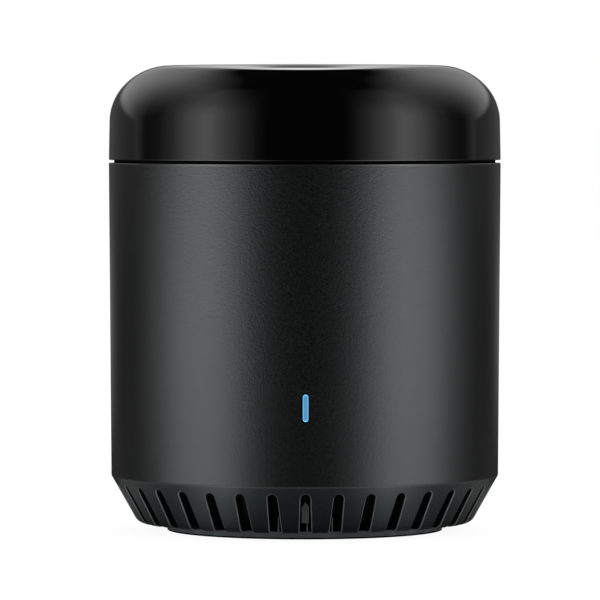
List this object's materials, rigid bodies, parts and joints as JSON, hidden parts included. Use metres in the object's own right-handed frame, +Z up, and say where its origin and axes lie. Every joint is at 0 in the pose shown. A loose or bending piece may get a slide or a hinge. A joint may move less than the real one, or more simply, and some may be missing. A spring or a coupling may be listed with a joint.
{
  "type": "infrared blaster hub",
  "caption": "Round desk-top infrared hub: glossy domed cap over a matte tapered body, slotted cone base, lit status window, rear power inlet and reset key.",
  "frame": {"origin": "centre of the foot pad's lower face, on the table", "axes": "+Z up; the front with the status window faces -Y; the power inlet faces +Y; +X is the right-hand side seen from the front"},
  "size_m": [0.054, 0.054, 0.064],
  "materials": {
    "cap_gloss": "piano-black infrared-transparent plastic",
    "body_matte": "very fine satin grain, charcoal",
    "base_plastic": "fine satin, near black",
    "foot_rubber": "matte moulded rubber",
    "pipe_lens": "frosted light pipe, lit blue",
    "screw_steel": "zinc-plated",
    "board_green": "solder mask",
    "board_blue": "solder mask",
    "inlet_steel": "tin-plated sheet",
    "inlet_plastic": "moulded",
    "contact_brass": "gold flash",
    "key_plastic": "satin",
    "plunger_plastic": "moulded, natural",
    "led_white": "moulded lamp body",
    "can_aluminium": "bare can",
    "chip_black": "moulded epoxy",
    "chip_ceramic": "fired chip",
    "socket_cream": "moulded",
    "ribbon_white": "polyester film",
    "emitter_smoke": "smoked epoxy"
  },
  "bodies": {
    "housing": {"top_cap": "cap_gloss", "body_shell": "body_matte", "vent_base": "base_plastic", "foot_pad": "foot_rubber", "light_pipe": "pipe_lens", "case_screws": "screw_steel", "board_screws": "screw_steel", "ir_screws": "screw_steel", "main_board": "board_green", "ir_board": "board_green", "wifi_board": "board_blue", "usb_shell": "inlet_steel", "usb_insulator": "inlet_plastic", "usb_contacts": "contact_brass", "switch_housing": "inlet_plastic", "status_led": "led_white", "wifi_shield": "inlet_steel", "power_capacitor": "can_aluminium", "voltage_regulator": "chip_black", "driver_transistors": "chip_black", "chip_passives": "chip_ceramic", "limit_resistors": "chip_black", "main_ribbon_socket": "socket_cream", "ir_ribbon_socket": "socket_cream", "ribbon_cable": "ribbon_white", "ring_emitters": "emitter_smoke", "top_emitter": "emitter_smoke", "ir_receiver": "emitter_smoke"},
    "reset_button": {"reset_key": "key_plastic", "switch_plunger": "plunger_plastic"}
  },
  "joints": [
    {"name": "reset_press", "type": "slide", "parent": "housing", "child": "reset_button", "axis": [-0.3746, -0.9272, 0], "range_m": [0, 0.00025], "stiffness_N_per_m": 4000, "springref_m": -0.0001}
  ]
}
